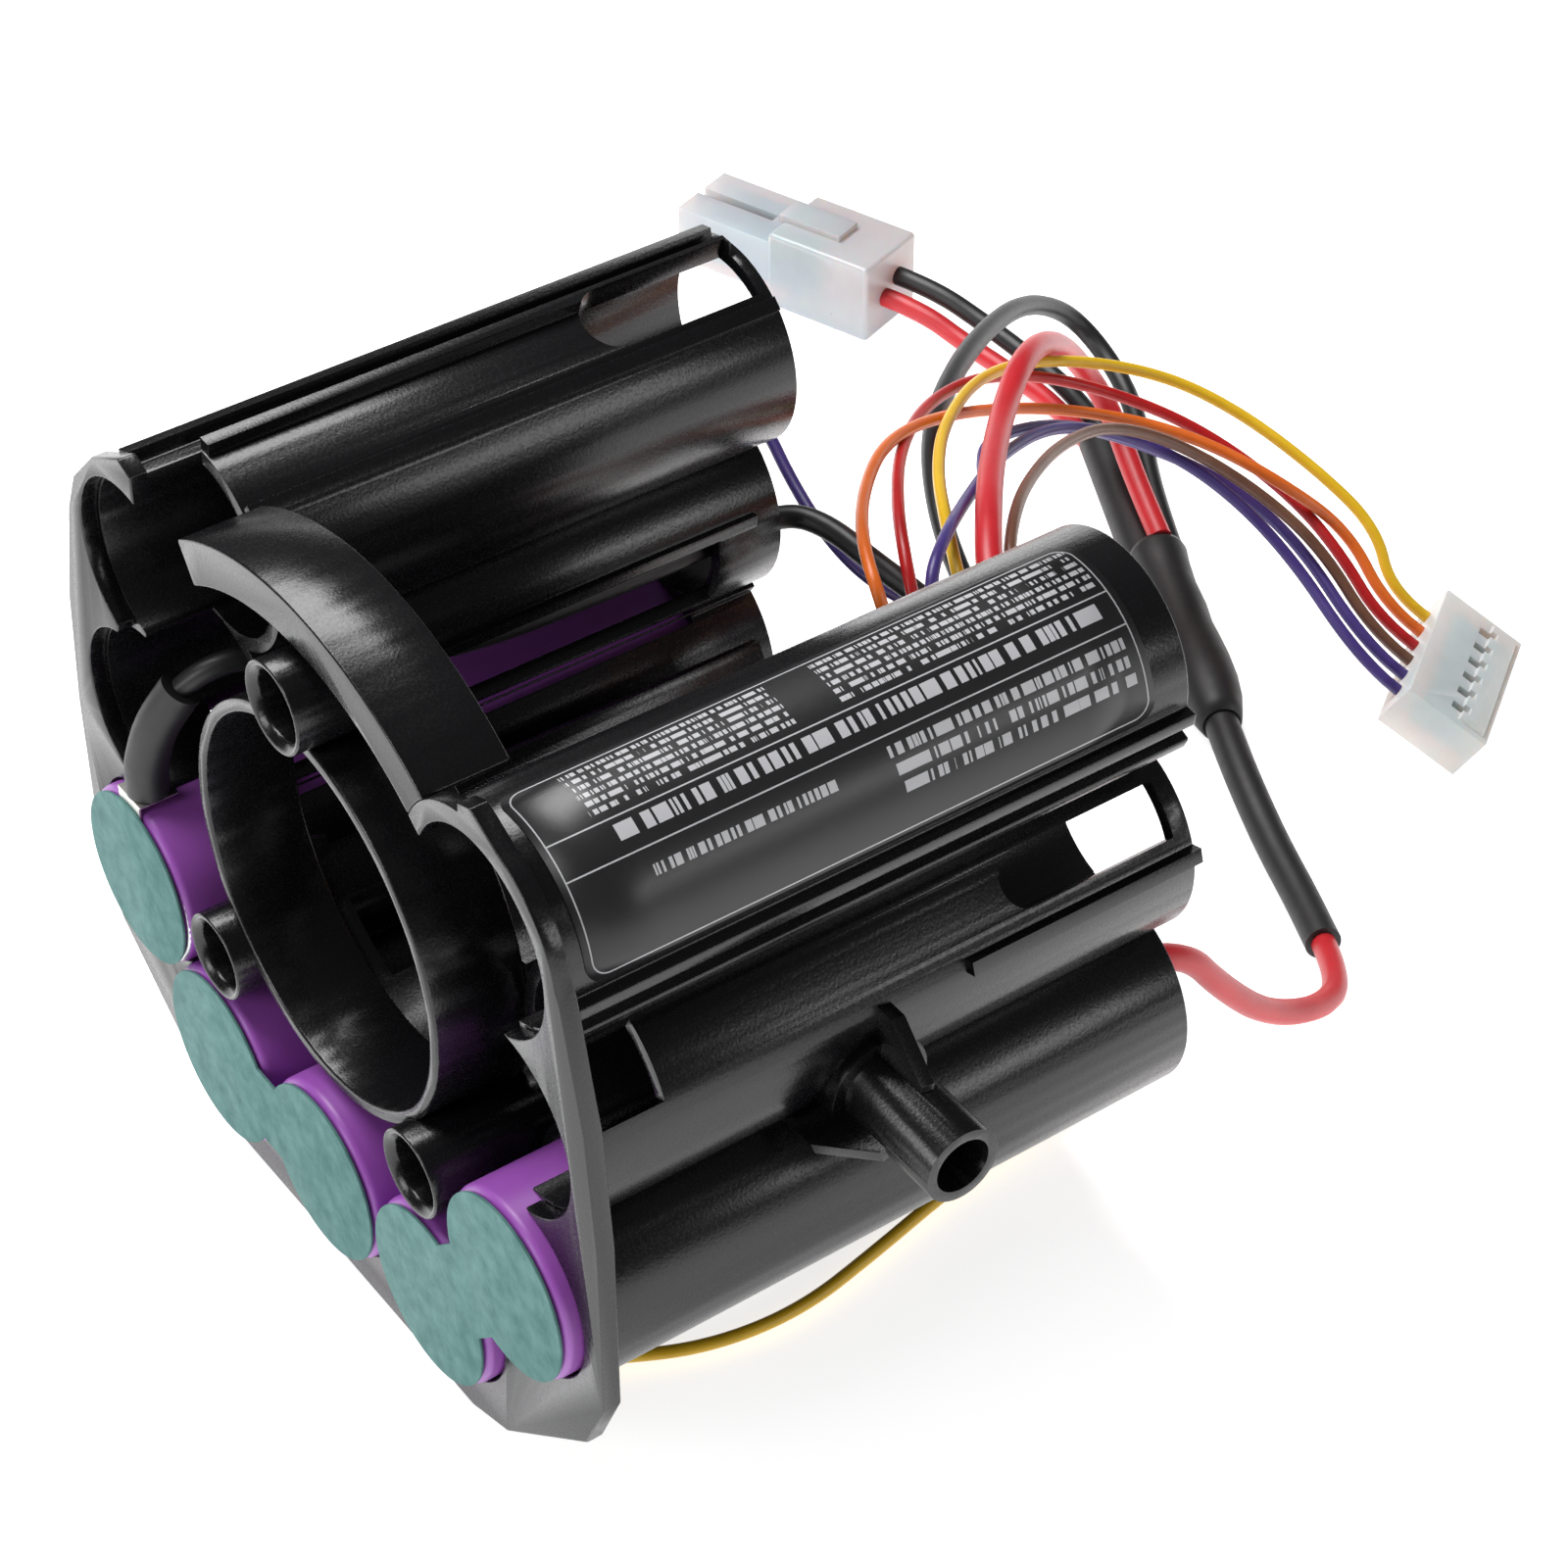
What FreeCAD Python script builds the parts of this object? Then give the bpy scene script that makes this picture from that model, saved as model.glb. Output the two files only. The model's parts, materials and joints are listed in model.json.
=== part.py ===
import FreeCAD, Part
import math
import os
from FreeCAD import Vector

os.makedirs("parts", exist_ok=True)

# ---------------------------------------------------------------- driving dimensions (mm)
# The section is laid out about the duct axis: y across, z up.  x runs from the near end
# (insulating papers at x = 0) to the far end, where the wires leave.
cell_dia = 18.4            # wrapped 18650 cell
cell_length = 65.2
wrap_thk = 0.15
paper_thk = 0.3
strip_thk = 0.2
bay_clearance = 0.02       # cell to bay bore, on the radius: the soft wrap is gripped
bay_wall = 1.4
bay_pitch = 18.8           # between neighbouring bays
row_drop = 31.2            # duct axis down to the bottom row of cells
hop_angles = (0.0, 44.0, 93.0, 98.0)   # direction of each hop from the bottom bay up one side
bay_end_margin = 1.1       # bay wall beyond the far papers

flange_face = 2.0
flange_thk = 1.8
flange_drop = 44.3         # duct axis down to the surface the pack stands on
flange_half_width = 44.6
paper_dia = 17.9
paper_waist = 9.0          # width of the bridge between two paper discs
window_clearance = 0.3
front_cavity_radius = 33.0
front_cavity_depth = 7.0

duct_bore = 19.0
duct_wall = 1.3
duct_front_length = 9.3
duct_rear_step = 0.8       # the rear duct is this much wider in the bore
duct_end_gap = 5.0
duct_window_length = 6.0
trough_angles = (168.0, 334.0)

collar_inner = 30.7
collar_outer = 35.0
collar_wall = 2.0
collar_length = 8.5

boss_ring = 24.2
boss_outer = 4.4
boss_bore = 3.3
boss_lengths = (12.0, 22.0, 22.0)   # the upper one is shorter
boss_floor = 3.0

stub_outer = 3.7
stub_bore = 2.7
stub_x = 32.0
stub_z = -4.0
stub_reach = 54.5
stub_bore_depth = 10.0
fin_reach = 4.2
fin_thk = 1.4

rail_width = 1.4
rail_height = 1.2
foot_half_width = 3.0
foot_length = 22.0

side_window = (12.0, 60.0)         # window in the empty middle bay, from x to x
side_window_half = 6.5

label_thk = 0.12
label_start = 5.4
label_length = 58.0
label_from = 76.0
label_to = 180.0

wire_dia = 2.4
red_dia = 2.7
sense_dia = 1.3
joint_sleeve_dia = 7.2
fuse_sleeve_dia = 3.8
upper_sleeve_dia = 4.9
thermal_sleeve_dia = 4.2

sense_pitch = 2.7
sense_ways = 6
sense_body = (10.4, 18.6, 6.0)     # along the mating direction, across, up
sense_back = 2.5                   # wall behind the chambers
power_body = (15.0, 11.0, 10.5)
power_nose = (14.0, 10.0, 7.5)
power_pin_pitch = 4.8

# ---------------------------------------------------------------- derived places
bay_bore = cell_dia / 2 + bay_clearance
bay_outer = bay_bore + bay_wall
can_start = paper_thk + strip_thk
can_end = can_start + cell_length
far_plane = can_end + strip_thk + paper_thk
bay_end = far_plane + bay_end_margin
flange_back = flange_face + flange_thk

# the row origin is the middle of the pack's footprint, on the surface it stands on
shift = Vector(-bay_end / 2, (stub_reach - flange_half_width) / 2, flange_drop)


def ring_centres():
    """Bay centres (y, z), from the upper far bay round the bottom to the upper near one."""
    side = [(0.0, -row_drop)]
    for angle in hop_angles:
        y, z = side[-1]
        side.append((y + bay_pitch * math.cos(math.radians(angle)),
                     z + bay_pitch * math.sin(math.radians(angle))))
    far = side[:0:-1]
    near = [(-y, z) for y, z in side[1:]]
    return far + [side[0]] + near


bay_names = ["bay_top_far", "bay_middle_far", "bay_cell_1", "bay_cell_2", "bay_cell_3",
             "bay_cell_4", "bay_cell_5", "bay_middle_near", "bay_top_near"]
bays = dict(zip(bay_names, ring_centres()))
ring = [bays[name] for name in bay_names]
cell_centres = ring[2:7]


def rod(x0, x1, radius, centre=(0.0, 0.0)):
    return Part.makeCylinder(radius, x1 - x0, Vector(x0, centre[0], centre[1]), Vector(1, 0, 0))


def tube(x0, x1, outer, inner, centre=(0.0, 0.0)):
    return rod(x0, x1, outer, centre).cut(rod(x0 - 1, x1 + 1, inner, centre))


def box(x0, x1, y0, y1, z0, z1):
    return Part.makeBox(x1 - x0, y1 - y0, z1 - z0, Vector(x0, y0, z0))


def on_bay(shape, centre, angle):
    """Turn a shape built along +Y from the axis to an angle round a bay, and carry it there."""
    turned = shape.copy()
    turned.rotate(Vector(0, 0, 0), Vector(1, 0, 0), angle)
    turned.translate(Vector(0, centre[0], centre[1]))
    return turned


def sector(x0, x1, radius, start, end, centre=(0.0, 0.0)):
    """A pie slice round a bay, from one angle to the other."""
    steps = max(2, int(math.ceil((end - start) / 40.0)))
    points = [Vector(x0, 0, 0)]
    for i in range(steps + 1):
        a = math.radians(start + (end - start) * i / steps)
        points.append(Vector(x0, radius * math.cos(a), radius * math.sin(a)))
    points.append(points[0])
    pie = Part.Face(Part.makePolygon(points)).extrude(Vector(x1 - x0, 0, 0))
    pie.translate(Vector(0, centre[0], centre[1]))
    return pie


def rail(x0, x1, angle, centre, height=rail_height, width=rail_width):
    bar = box(x0, x1, bay_outer - bay_wall / 2, bay_outer + height, -width / 2, width / 2)
    return on_bay(bar, centre, angle)


def slot(x0, x1, angle, width, centre):
    """A cutter that goes radially out through a bay wall, with a rounded near end."""
    far_out = bay_outer + rail_height + 2
    cutter = box(x0 + width / 2, x1, bay_bore - 4, far_out, -width / 2, width / 2)
    nose_place = Vector(x0 + width / 2, bay_bore - 4, 0)
    nose = Part.makeCylinder(width / 2, far_out - bay_bore + 4, nose_place, Vector(0, 1, 0))
    return on_bay(cutter.fuse(nose), centre, angle)


def window_between(a, b, x0, x1, half=paper_waist / 2 + window_clearance):
    """Opening in the walls between two neighbouring bays; at their far ends it clears the strip."""
    middle = Vector(0, (a[0] + b[0]) / 2, (a[1] + b[1]) / 2)
    angle = math.degrees(math.atan2(b[1] - a[1], b[0] - a[0]))
    cutter = box(x0, x1, -bay_outer / 2, bay_outer / 2, -half, half)
    cutter.rotate(Vector(0, 0, 0), Vector(1, 0, 0), angle)
    cutter.translate(middle)
    return cutter


# ---------------------------------------------------------------- moulded holder
def bay(index):
    centre = ring[index]
    body = tube(flange_back, bay_end, bay_outer, bay_bore, centre)
    name = bay_names[index]
    for angle, x0, x1 in bay_rails.get(name, []):
        body = body.fuse(rail(x0, x1, angle, centre))
    for angle, x0, x1, width in bay_slots.get(name, []):
        body = body.cut(slot(x0, x1, angle, width, centre))
    for neighbour in (index - 1, index + 1):
        if 0 <= neighbour < len(ring):
            body = body.cut(rod(flange_back - 1, bay_end + 1, bay_bore, ring[neighbour]))
        if (min(index, neighbour), max(index, neighbour)) in joined_far:
            body = body.cut(window_between(centre, ring[neighbour], can_end - window_clearance, bay_end + 1))
    if index > 0:
        body = body.cut(rod(flange_back - 1, bay_end + 1, bay_outer, ring[index - 1]))
    body = body.cut(rod(flange_back - 1, flange_back + front_cavity_depth, front_cavity_radius))
    body = body.cut(rod(0, bay_end + 1, duct_rear_outer + 0.01))
    for centre_y, centre_z in boss_centres:
        body = body.cut(rod(-1, max(boss_lengths) + 1, boss_outer + 0.01, (centre_y, centre_z)))
    if name in foot_bays:
        body = body.fuse(foot(centre)).cut(rod(0, bay_end + 1, bay_bore, centre))
    if name == "bay_top_far":
        body = body.cut(sector(flange_back - 1, 10.0, bay_outer + 4, 92, 262, centre))
    if name == "bay_middle_far":
        body = body.cut(sector(side_window[0], side_window[1], bay_outer + 4, 168, 214, centre))
    if name in ("bay_middle_far", "bay_cell_1"):
        body = body.cut(window_between(ring[1], ring[2], side_window[0], side_window[1], side_window_half))
    if name == "bay_middle_near":
        body = body.cut(sector(flange_back - 1, 11.3, bay_outer + 4, 117, 157, centre))
    return largest(body)


def largest(shape):
    """The main solid of a cut shape, without slivers."""
    solids = sorted(shape.Solids, key=lambda s: s.Volume)
    return solids[-1]


def foot(centre):
    """Rib under a bottom bay that reaches the surface the pack stands on."""
    return box(bay_end - foot_length, bay_end, centre[0] - foot_half_width, centre[0] + foot_half_width,
               -flange_drop, centre[1] - bay_bore - bay_wall / 2)


duct_rear_outer = duct_bore + duct_rear_step + duct_wall - 0.4
boss_centres = [(boss_ring * math.cos(math.radians(a)), boss_ring * math.sin(math.radians(a)))
                for a in (90.0, -44.7, -135.3)]
foot_bays = ("bay_cell_2", "bay_cell_4")
joined_far = ((2, 3), (4, 5))          # places in the ring that a far strip and paper join
bay_rails = {
    "bay_top_far": [(77, flange_back, bay_end - 1), (93, 10.2, bay_end - 1), (134, 10.2, bay_end - 0.5)],
    "bay_middle_far": [(165, 12.5, bay_end - 3)],
    "bay_cell_1": [(124, 14, bay_end)],
    "bay_top_near": [(187, flange_back, bay_end), (203, flange_back, bay_end)],
    "bay_middle_near": [(164, 42, bay_end)],
}
bay_slots = {
    "bay_top_far": [(108, 48.5, 66.1, 6.4)],
    "bay_middle_near": [(138, 47.5, bay_end - 1.8, 5.4)],
}


def arc_face(points):
    return Part.Face(Part.makePolygon([Vector(0, y, z) for y, z in points + points[:1]]))


def flange_outline():
    """Half outline from the bottom middle up the +Y side, then mirrored."""
    w = flange_half_width
    half = [(22.0, -flange_drop), (28.0, -42.3), (41.5, -31.0), (w, -24.0), (w, -5.0), (43.4, 8.0),
            (40.6, 20.0), (38.6, 24.6), (34.2, 29.2), (28.6, 32.2), (26.6, 31.4), (26.4, 20.0),
            (20.0, 0.0)]
    return half + [(-y, z) for y, z in reversed(half)]


def front_flange():
    plate = arc_face(flange_outline()).extrude(Vector(flange_thk, 0, 0))
    plate.translate(Vector(flange_face, 0, 0))
    near_ring = rod(flange_face, flange_back, bay_outer + 0.9, bays["bay_top_near"])
    plate = plate.fuse(near_ring)
    plate = plate.cut(rod(0, flange_back + 1, collar_outer + 0.01).common(
        box(0, flange_back + 1, -17.0, 60, 0, 60)))
    for centre in ring:
        plate = plate.cut(rod(0, flange_back + 1, bay_bore + 0.3, centre))
    plate = plate.cut(rod(0, flange_back + 1, collar_inner))
    return largest(plate)


def collar_band():
    """Curved band over the duct, with the flange lip at its near edge."""
    band = tube(flange_face, flange_face + collar_length, collar_outer, collar_outer - collar_wall)
    lip = tube(flange_face, flange_back - 0.4, collar_outer, collar_inner)
    arch = band.fuse(lip)
    arch = arch.common(sector(0, 20, collar_outer + 10, 58, 138))
    arch = arch.cut(rod(0, bay_end, bay_outer + 0.9, bays["bay_top_near"]))
    return largest(arch)


def duct_front():
    ring_wall = tube(flange_face, flange_face + duct_front_length, duct_bore + duct_wall, duct_bore)
    for centre in boss_centres:
        ring_wall = ring_wall.cut(rod(-1, 30, boss_outer + 0.01, centre))
    return largest(ring_wall)


def duct_rear():
    """Trough behind the duct mouth, open above, that ties the bays on both sides together."""
    x0 = flange_face + duct_front_length
    body = tube(x0, bay_end - duct_end_gap, duct_rear_outer, duct_bore + duct_rear_step - 0.4)
    for angle in (-70, -30, 10, 170, 210):
        body = body.cut(sector(x0 + 1.5, x0 + 1.5 + duct_window_length, 30, angle, angle + 26))
    for centre in boss_centres:
        body = body.cut(rod(-1, max(boss_lengths) + 1, boss_outer + 0.01, centre))
    return largest(body.common(sector(0, bay_end, duct_rear_outer + 20, *trough_angles)))


def screw_boss(centre, length):
    body = rod(0, length, boss_outer, centre)
    body = body.cut(rod(-1, length - boss_floor, boss_bore, centre))
    mouth = Part.makeCone(boss_bore + 0.7, boss_bore, 0.7, Vector(0, centre[0], centre[1]), Vector(1, 0, 0))
    return body.cut(mouth)


def side_stub():
    """Hollow peg on the -Y side, with three fins down to the bays."""
    y_out = -stub_reach
    wall_y = -38.0
    peg = Part.makeCylinder(stub_outer, wall_y - y_out, Vector(stub_x, y_out, stub_z), Vector(0, 1, 0))
    base = Part.makeCylinder(stub_outer + 1.3, 5.0, Vector(stub_x, wall_y - 5.0, stub_z), Vector(0, 1, 0))
    stub = peg.fuse(base)
    for angle in (0, 120, 240):
        points = [Vector(0, wall_y, 0), Vector(0, -48.6, 0), Vector(stub_outer + 0.6, -48.6, 0),
                  Vector(stub_outer + fin_reach, -43.5, 0), Vector(stub_outer + fin_reach, wall_y, 0),
                  Vector(0, wall_y, 0)]
        fin = Part.Face(Part.makePolygon(points)).extrude(Vector(0, 0, fin_thk))
        fin.translate(Vector(0, 0, -fin_thk / 2))
        fin.rotate(Vector(0, 0, 0), Vector(0, 1, 0), angle + 40)
        fin.translate(Vector(stub_x, 0, stub_z))
        stub = stub.fuse(fin)
    bore_start = Vector(stub_x, y_out - 1, stub_z)
    stub = stub.cut(Part.makeCylinder(stub_bore, stub_bore_depth + 1, bore_start, Vector(0, 1, 0)))
    for name in ("bay_middle_near", "bay_cell_5"):
        stub = stub.cut(rod(0, bay_end, bay_outer + 0.01, bays[name]))
    return largest(stub)


# ---------------------------------------------------------------- cells
def cell_can(index):
    """Steel can with a rolled groove and a positive button; every other cell is turned round."""
    radius = cell_dia / 2 - wrap_thk
    button_height = 1.5
    groove_depth = 0.5
    can = Part.makeCylinder(radius, cell_length - button_height)
    can = can.makeFillet(0.6, [e for e in can.Edges if e.Curve.TypeId == "Part::GeomCircle"])
    groove = Part.makeTorus(radius + 0.6, 0.6 + groove_depth, Vector(0, 0, cell_length - 6.0))
    can = can.cut(groove)
    button = Part.makeCylinder(4.1, button_height, Vector(0, 0, cell_length - button_height))
    vent = Part.makeCylinder(6.4, 0.35, Vector(0, 0, cell_length - button_height))
    can = can.fuse([button, vent])
    y, z = cell_centres[index]
    if index % 2:
        can.rotate(Vector(0, 0, 0), Vector(0, 1, 0), -90)
        can.translate(Vector(can_end, y, z))
    else:
        can.rotate(Vector(0, 0, 0), Vector(0, 1, 0), 90)
        can.translate(Vector(can_start, y, z))
    return largest(can)


def cell_wrap(index):
    """Shrink wrap: a thin sleeve whose ends turn in over the can's shoulders."""
    centre = cell_centres[index]
    outer = cell_dia / 2
    inner = outer - wrap_thk + 0.005
    x0 = can_start + 0.6
    x1 = can_end - 0.6
    return tube(x0, x1, outer, inner, centre)


# ---------------------------------------------------------------- strips, papers, label
def paper(x0, *cells):
    """Insulating paper over one cell end, or two discs joined by a waist over a pair."""
    discs = [rod(x0, x0 + paper_thk, paper_dia / 2, cell_centres[cell]) for cell in cells]
    if len(discs) == 1:
        return discs[0]
    a, b = cell_centres[cells[0]], cell_centres[cells[1]]
    angle = math.degrees(math.atan2(b[1] - a[1], b[0] - a[0]))
    bar = box(x0, x0 + paper_thk, 0, bay_pitch, -paper_waist / 2, paper_waist / 2)
    return largest(discs[0].fuse([discs[1], on_bay(bar, a, angle)]))


def strip(first, second, x0):
    """Nickel strip from cell to cell."""
    a, b = cell_centres[first], cell_centres[second]
    angle = math.degrees(math.atan2(b[1] - a[1], b[0] - a[0]))
    width = 4.0
    bar = box(x0, x0 + strip_thk, -width * 0.8, bay_pitch + width * 0.8, -width / 2, width / 2)
    return on_bay(bar, a, angle)


def tab(index, x0):
    width = 4.0
    return on_bay(box(x0, x0 + strip_thk, -5.0, 5.0, -width / 2, width / 2), cell_centres[index], 90)


def label():
    body = tube(label_start, label_start + label_length, bay_outer + label_thk, bay_outer + 0.01,
                bays["bay_top_near"])
    pie = sector(0, bay_end, bay_outer + 6, label_from, label_to, bays["bay_top_near"])
    return largest(body.common(pie))


# ---------------------------------------------------------------- cords
def cord(name, points, diameter):
    """A round cord along straight runs joined by tangent arcs."""
    route = [Vector(*p) for p in points]
    radius = diameter / 2
    edges = []
    length = 0.0
    here = route[0]
    smallest = None
    for i in range(1, len(route) - 1):
        to_in = (route[i - 1] - route[i])
        to_out = (route[i + 1] - route[i])
        run_in, run_out = to_in.Length, to_out.Length
        to_in.normalize()
        to_out.normalize()
        turn = math.pi - to_in.getAngle(to_out)
        setback = 0.45 * min(run_in, run_out)
        bend = setback / math.tan(turn / 2)
        smallest = bend if smallest is None else min(smallest, bend)
        start = route[i] + to_in * setback
        end = route[i] + to_out * setback
        inward = to_in + to_out
        inward.normalize()
        centre = route[i] + inward * (bend / math.cos(turn / 2))
        middle = centre - inward * bend
        edges.append(Part.LineSegment(here, start).toShape())
        edges.append(Part.Arc(start, middle, end).toShape())
        length += (start - here).Length + bend * turn
        here = end
    edges.append(Part.LineSegment(here, route[-1]).toShape())
    length += (route[-1] - here).Length
    path = Part.Wire(edges)
    heading = route[1] - route[0]
    profile = Part.Wire(Part.makeCircle(radius, route[0], heading))
    shape = path.makePipeShell([profile], True, False)
    expected = math.pi * radius ** 2 * length
    print("%-18s length %6.1f  smallest bend %5.1f (%.1f dia)  volume ratio %.4f"
          % (name, length, smallest, smallest / diameter, shape.Volume / expected))
    return shape if shape.ShapeType == "Solid" else Part.Solid(shape)


def sleeve(points, diameter):
    """A straight heat-shrink sleeve, given by its ends."""
    a, b = Vector(*points[0]), Vector(*points[1])
    axis = b - a
    return Part.makeCylinder(diameter / 2, axis.Length, a, axis)


# where each cord's centre line goes, from the pack outward, on the row's own axes
routes = {
    "black_main": [(33.65, 28.9, 44.2), (36.8, 28.7, 44.2), (38.8, 24.5, 44.1), (39.4, 18.2, 43.4),
                   (41.5, 11.0, 41.5), (42.5, 3.5, 38.0), (46.5, 0.5, 32.0), (51.0, 4.0, 26.5), (53.5, 12.0, 26.0),
                   (54.0, 20.5, 30.0), (56.5, 30.0, 34.5), (65.0, 42.5, 35.0), (80.5, 57.0, 29.5),
                   (97.0, 70.0, 22.0), (108.0, 77.0, 15.5), (115.5, 78.5, 9.5), (116.0, 70.5, 5.5),
                   (111.5, 61.0, 4.6), (105.2, 51.0, 3.6), (100.2, 41.0, 3.2)],
    "red_main": [(28.65, -10.4, 31.4), (37.0, -10.4, 31.4), (42.0, -6.0, 36.0), (44.1, 0.5, 42.0),
                 (44.1, 6.0, 46.5), (49.2, 12.8, 47.8), (57.0, 22.2, 45.0), (67.9, 34.0, 40.5),
                 (76.4, 41.2, 40.2), (86.6, 49.2, 33.9), (101.6, 62.3, 18.5), (105.5, 60.0, 11.0),
                 (102.2, 51.2, 7.4), (98.5, 41.9, 6.0)],
    "sense_yellow": [(-29.85, -17.5, 2.2), (-24.5, -17.5, 2.1), (-18.5, -21.0, 1.3), (-10.5, -24.7, 1.0),
                     (-1.0, -25.9, 1.0), (9.0, -24.0, 1.0), (20.0, -21.5, 1.0), (33.0, -20.0, 1.6),
                     (40.0, -16.5, 7.0), (41.0, -11.5, 15.5), (41.0, -6.5, 24.0), (40.5, -1.5, 32.0),
                     (41.0, 2.5, 40.0),
                     (42.0, 7.8, 46.0), (46.7, 16.3, 46.5), (53.2, 26.1, 44.0), (61.5, 35.6, 41.0),
                     (73.7, 44.9, 37.0), (86.5, 48.3, 32.0), (98.3, 44.6, 27.5), (104.3, 37.7, 24.0),
                     (108.0, 27.9, 20.0), (110.5, 20.0, 15.5)],
    "sense_orange": [(28.65, 13.4, 26.2), (33.0, 13.4, 26.2), (36.5, 11.0, 31.0), (35.5, 8.5, 39.0),
                     (31.4, 6.4, 49.5), (34.3, 13.4, 51.0), (41.7, 23.2, 48.0), (51.5, 32.4, 44.8),
                     (63.8, 38.4, 39.5), (79.6, 42.7, 31.5), (90.4, 40.3, 27.0), (96.1, 34.0, 25.3),
                     (100.4, 26.3, 22.8), (107.2, 21.1, 16.0)],
    "sense_red": [(-29.85, 14.35, 2.2), (-22.0, 14.35, 2.1), (-8.0, 14.2, 1.1), (8.0, 14.0, 1.0),
                  (23.0, 13.5, 1.1), (35.0, 12.0, 2.4), (40.0, 10.0, 10.0), (40.5, 8.5, 20.0),
                  (39.5, 8.5, 30.0), (39.0, 9.5, 39.0),
                  (39.5, 13.0, 46.0), (44.2, 20.9, 46.5), (53.2, 32.3, 43.1), (64.3, 42.2, 38.6),
                  (75.3, 46.9, 35.0), (86.6, 47.2, 30.0), (95.8, 41.4, 25.5), (100.9, 34.6, 22.0),
                  (103.7, 25.7, 18.5), (104.2, 18.6, 15.2)],
    "sense_brown": [(28.65, -6.5, 27.9), (34.5, -6.5, 27.9), (41.0, -4.5, 32.0), (47.0, 0.5, 38.5),
                    (47.2, 6.9, 46.0), (52.0, 12.5, 46.0), (59.8, 20.1, 43.0), (71.4, 28.8, 38.0),
                    (82.5, 33.9, 33.0), (91.1, 32.4, 28.0), (97.2, 26.1, 23.0), (101.3, 19.1, 17.5)],
    "sense_purple_a": [(33.65, 45.6, 48.6), (38.0, 45.6, 48.6), (42.0, 40.5, 46.5), (41.0, 34.5, 43.3),
                       (40.0, 27.0, 41.0), (40.5, 20.5, 39.2), (43.0, 14.8, 38.0), (47.5, 12.5, 38.6),
                       (52.5, 15.5, 40.0), (56.5, 21.0, 40.8), (60.3, 27.8, 39.8), (65.3, 33.4, 38.6),
                       (78.1, 37.7, 33.0), (89.1, 38.2, 26.0), (97.7, 32.9, 20.5), (100.8, 22.9, 17.0)],
    "sense_purple_b": [(28.65, 3.2, 24.4), (34.0, 3.2, 24.4), (37.5, 3.5, 31.0), (37.0, 4.0, 40.5),
                       (36.8, 6.2, 49.5), (42.2, 10.7, 49.9), (52.5, 20.0, 44.7), (63.1, 28.6, 40.0),
                       (75.5, 35.3, 35.0), (86.0, 36.3, 29.2), (92.9, 30.1, 25.0), (98.6, 22.0, 17.0)],
    "power_black": [(110.5, 90.4, 4.4), (111.4, 82.6, 3.4), (111.6, 73.5, 2.8), (109.1, 63.85, 2.5)],
    "power_red": [(107.6, 89.8, 2.6), (108.6, 82.3, 2.1), (108.9, 73.8, 2.1), (106.85, 64.95, 2.5)],
    "red_return": [(32.25, -31.0, 31.0), (38.0, -31.5, 30.0), (44.0, -31.2, 21.5), (51.5, -30.0, 13.0),
                   (60.0, -28.7, 8.0), (66.0, -25.4, 5.8), (69.8, -18.6, 4.0)],
}
cord_dia = {
    "black_main": wire_dia, "power_black": wire_dia, "power_red": wire_dia, "red_main": red_dia,
    "red_return": 2.6, "lead_black_inner": 2.3,
}

# the lead from the first cell runs through the empty middle bay on the far side
routes["lead_black_inner"] = [(-27.8, 34.6, 48.5), (-25.4, 33.1, 51.2), (-20.0, 31.4, 51.0), (-11.5, 29.8, 47.2),
                              (0.0, 29.0, 44.6), (16.0, 28.9, 44.2), (33.65, 28.9, 44.2)]
thermal_route = [(-31.35, 36.9, 36.4), (-31.35, 36.9, 39.4), (-30.2, 36.1, 44.2), (-27.8, 34.6, 48.5)]
upper_route = [(108.0, 64.4, 2.5), (97.1, 42.55, 2.5)]
joint_route = [(98.2, 42.0, 3.6), (84.5, 14.5, 3.6)]
fuse_route = [(84.5, 14.5, 3.6), (80.5, 6.4, 3.5), (76.6, -2.9, 2.9), (73.2, -11.4, 3.2), (69.8, -18.6, 4.0)]

# sense connector: it lies nose down, its wire side lifted by the stiffness of the wires
sense_place = FreeCAD.Placement(Vector(105.6, 7.7, 8.0), FreeCAD.Rotation(-55.5, 31.0, 0.0))
sense_order = ["yellow", "orange", "red", "brown", "purple_a", "purple_b"]
sense_lead_in = 5.0
for way, colour in enumerate(sense_order):
    across = ((sense_ways - 1) / 2 - way) * sense_pitch
    for back in (sense_lead_in, 0.0):
        routes["sense_" + colour].append(tuple(sense_place.multVec(Vector(-back, across, 0))))

# power connector: it lies flat on the surface, nose pointing away from the wires
power_place = FreeCAD.Placement(Vector(105.2, 102.0, 0.0), FreeCAD.Rotation(109.4, 0.0, 0.0))
power_ways = {"power_black": (-1.5, 6.2), "power_red": (1.4, 4.6)}
power_lead_in = 5.5
for name, (across, height) in power_ways.items():
    leads = [Vector(0, across, height), Vector(-power_lead_in, across, height)]
    routes[name] = [tuple(power_place.multVec(v)) for v in leads] + routes[name]


def sense_connector():
    length, width, height = sense_body
    body = Part.makeBox(length, width, height, Vector(0, -width / 2, -height / 2))
    step = Part.makeBox(3.2, width - 1.6, 0.5, Vector(length - 4.0, -width / 2 + 0.8, height / 2))
    body = body.fuse(step)
    for way in range(sense_ways):
        y = ((sense_ways - 1) / 2 - way) * sense_pitch
        body = body.cut(Part.makeBox(length, 1.9, 2.6, Vector(sense_back, y - 0.95, -1.0)))
        body = body.cut(Part.makeBox(2.0, 1.0, 3.0, Vector(5.2, y - 0.5, 0.8)))
    body.Placement = sense_place
    return largest(body)


def sense_terminals():
    pins = []
    for way in range(sense_ways):
        y = ((sense_ways - 1) / 2 - way) * sense_pitch
        pins.append(Part.makeBox(5.5, 1.2, 1.5, Vector(sense_back, y - 0.6, -0.9)))
    shape = Part.makeCompound(pins)
    shape.Placement = sense_place
    return shape


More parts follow.
